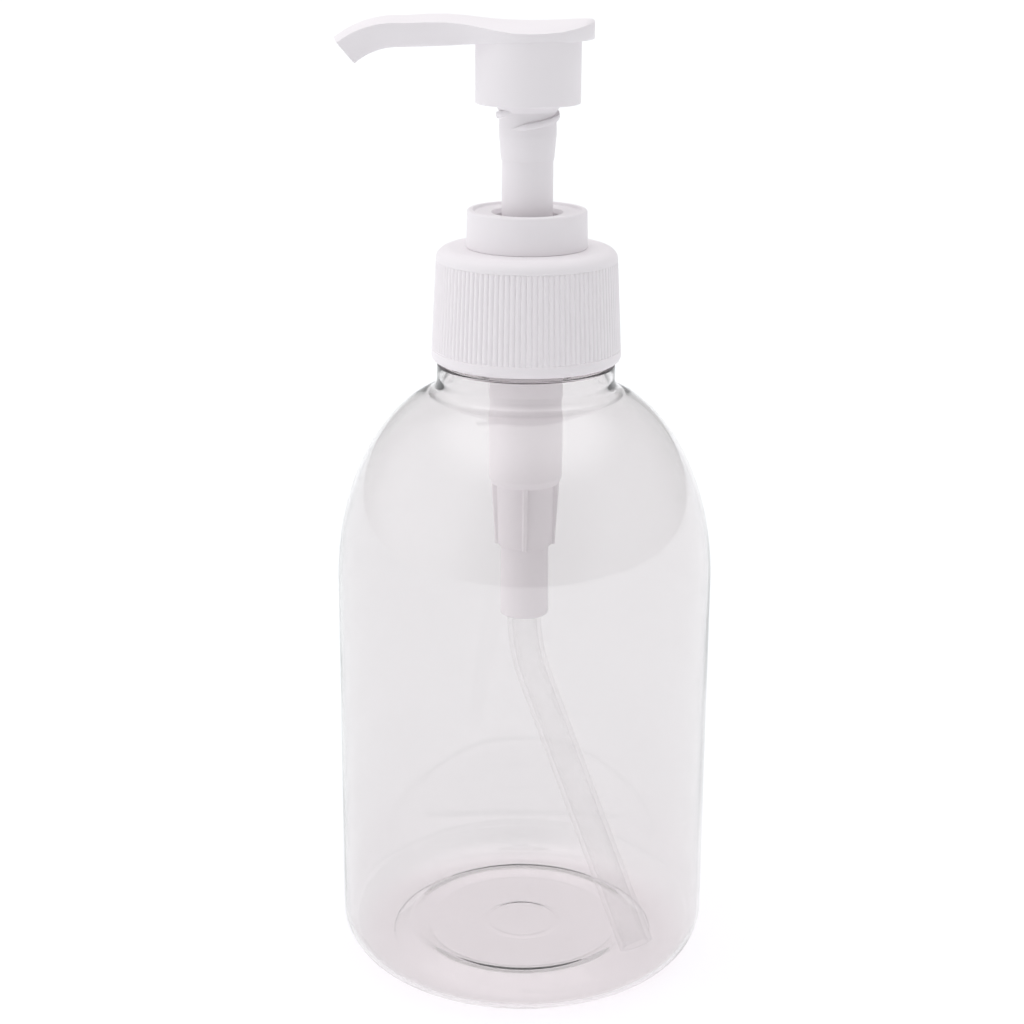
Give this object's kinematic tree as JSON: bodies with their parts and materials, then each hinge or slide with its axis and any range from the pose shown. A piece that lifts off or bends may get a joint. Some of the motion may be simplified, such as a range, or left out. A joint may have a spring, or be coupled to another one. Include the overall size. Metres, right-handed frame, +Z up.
{
  "type": "soap pump dispenser",
  "caption": "Clear round-shouldered bottle with a ribbed screw closure and a lock-down lotion pump with a saddle head, curved spout and dip tube.",
  "frame": {"origin": "centre of the bottle's base, on the surface it stands on", "axes": "+Z up along the bottle's axis; the spout points along -X with the head as stored"},
  "size_m": [0.065, 0.065, 0.1657],
  "materials": {
    "clear_pet": "clear, glossy",
    "white_pp": "satin",
    "natural_pp": "translucent, satin",
    "natural_pe": "translucent",
    "seal_pe": "matte",
    "foam": "closed-cell foam",
    "spring_steel": "drawn wire",
    "ball_glass": "polished"
  },
  "bodies": {
    "bottle": {"bottle": "clear_pet"},
    "pump_body": {"pump_housing": "natural_pp", "lock_collar": "white_pp", "gasket": "foam", "dip_tube": "natural_pe", "spring": "spring_steel"},
    "closure": {"closure_cap": "white_pp"},
    "inlet_valve": {"inlet_ball": "ball_glass"},
    "plunger": {"piston": "seal_pe"},
    "head": {"actuator_head": "white_pp", "stem": "white_pp", "piston_rod": "natural_pp"},
    "outlet_valve": {"outlet_ball": "ball_glass"}
  },
  "joints": [
    {"name": "pump_lift", "type": "slide", "parent": "bottle", "child": "pump_body", "axis": [0, 0, 1], "range_m": [0, 0.00635]},
    {"name": "cap_turn", "type": "hinge", "parent": "pump_body", "child": "closure", "pos_m": [0, 0, 0.118], "axis": [0, 0, 1], "range_deg": [0, 540]},
    {"name": "inlet_ball_lift", "type": "slide", "parent": "pump_body", "child": "inlet_valve", "axis": [0, 0, 1], "range_m": [0, 0.0015]},
    {"name": "pump_stroke", "type": "slide", "parent": "pump_body", "child": "plunger", "axis": [0, 0, -1], "range_m": [0, 0.0125], "stiffness_N_per_m": 930, "springref_m": -0.006, "deforming": ["spring"]},
    {"name": "head_turn", "type": "hinge", "parent": "plunger", "child": "head", "pos_m": [0, 0, 0.15], "axis": [0, 0, 1], "continuous": true},
    {"name": "outlet_ball_lift", "type": "slide", "parent": "head", "child": "outlet_valve", "axis": [0, 0, 1], "range_m": [0, 0.0015]}
  ],
  "couplings": [
    {"joint": "cap_turn", "follows": "pump_lift", "rad_per_m": 1484.2}
  ]
}
